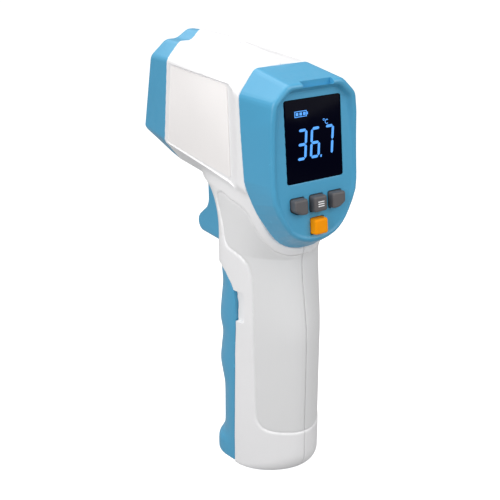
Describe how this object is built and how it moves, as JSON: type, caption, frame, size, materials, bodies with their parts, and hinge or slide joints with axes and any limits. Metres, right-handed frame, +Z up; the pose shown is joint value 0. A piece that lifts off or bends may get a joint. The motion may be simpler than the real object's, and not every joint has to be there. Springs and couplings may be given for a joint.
{
  "type": "infrared thermometer",
  "caption": "Pistol-grip infrared thermometer with a rear display and keys, a pivoting trigger and a hinged battery door in the handle.",
  "frame": {"origin": "centre of the handle's flat base", "axes": "+Z up the handle, +Y towards the nose where the sensor points, +X to the user's right"},
  "size_m": [0.0382, 0.1023, 0.1668],
  "materials": {
    "white_shell": "satin white ABS, finely textured on the handle panels",
    "blue_shell": "satin sky-blue ABS",
    "grey_key": "matt dark grey",
    "orange_key": "satin orange",
    "window": "clear window, black-printed from behind",
    "glass_lcd": "dark display glass",
    "diffuser": "white diffuser",
    "circuit_board": "green solder mask",
    "black_plastic": "matt black",
    "steel": "bright zinc-plated steel",
    "lens": "dark coated infrared lens",
    "cell": "plain wrapped cell",
    "tray": "light grey ABS",
    "label": "blank warm-white label plate",
    "wire": "soft insulated wire"
  },
  "bodies": {
    "case": {"left_shell": "white_shell", "right_shell": "white_shell", "nose_cap": "blue_shell", "rear_bezel": "blue_shell", "display_window": "window", "lcd_module": "glass_lcd", "backlight": "diffuser", "main_board": "circuit_board", "board_chips": "black_plastic", "key_switches": "black_plastic", "buzzer": "black_plastic", "board_screws": "steel", "trigger_pin": "steel", "trigger_switch": "black_plastic", "sensor_tube": "black_plastic", "sensor_lens": "lens", "sensor_can": "steel", "sensor_board": "circuit_board", "sensor_cable": "wire", "door_pin": "steel", "battery_tray": "tray", "battery_left": "cell", "battery_right": "cell", "battery_springs": "steel", "contact_plates": "steel", "battery_wires": "wire", "label_left": "label", "label_right": "label", "shell_screws": "steel"},
    "trigger": {"trigger": "blue_shell", "trigger_spring": "steel"},
    "switch_lever": {"switch_lever": "steel"},
    "battery_door": {"battery_door": "blue_shell"},
    "key_left": {"key_left": "grey_key"},
    "key_middle": {"key_middle": "grey_key"},
    "key_right": {"key_right": "grey_key"},
    "power_key": {"power_key": "orange_key"}
  },
  "joints": [
    {"name": "key_left_press", "type": "slide", "parent": "case", "child": "key_left", "axis": [0, 0.994, -0.1097], "range_m": [0, 0.0008], "stiffness_N_per_m": 1500},
    {"name": "key_middle_press", "type": "slide", "parent": "case", "child": "key_middle", "axis": [0, 0.994, -0.1097], "range_m": [0, 0.0008], "stiffness_N_per_m": 1500},
    {"name": "key_right_press", "type": "slide", "parent": "case", "child": "key_right", "axis": [0, 0.994, -0.1097], "range_m": [0, 0.0008], "stiffness_N_per_m": 1500},
    {"name": "power_key_press", "type": "slide", "parent": "case", "child": "power_key", "axis": [0, 0.994, -0.1097], "range_m": [0, 0.0008], "stiffness_N_per_m": 1500},
    {"name": "trigger_pull", "type": "hinge", "parent": "case", "child": "trigger", "pos_m": [0, 0.034, 0.118], "axis": [1, 0, 0], "range_deg": [-8, 0], "stiffness_Nm_per_rad": 0.3},
    {"name": "switch_lever_turn", "type": "hinge", "parent": "case", "child": "switch_lever", "pos_m": [0, 0.0092, 0.104], "axis": [1, 0, 0], "range_deg": [-15.4, 0]},
    {"name": "battery_door_open", "type": "hinge", "parent": "case", "child": "battery_door", "pos_m": [0, 0.0065, 0.0026], "axis": [1, 0, 0], "range_deg": [-75, 0]}
  ],
  "couplings": [
    {"joint": "switch_lever_turn", "follows": "trigger_pull", "ratio": 1.9}
  ]
}
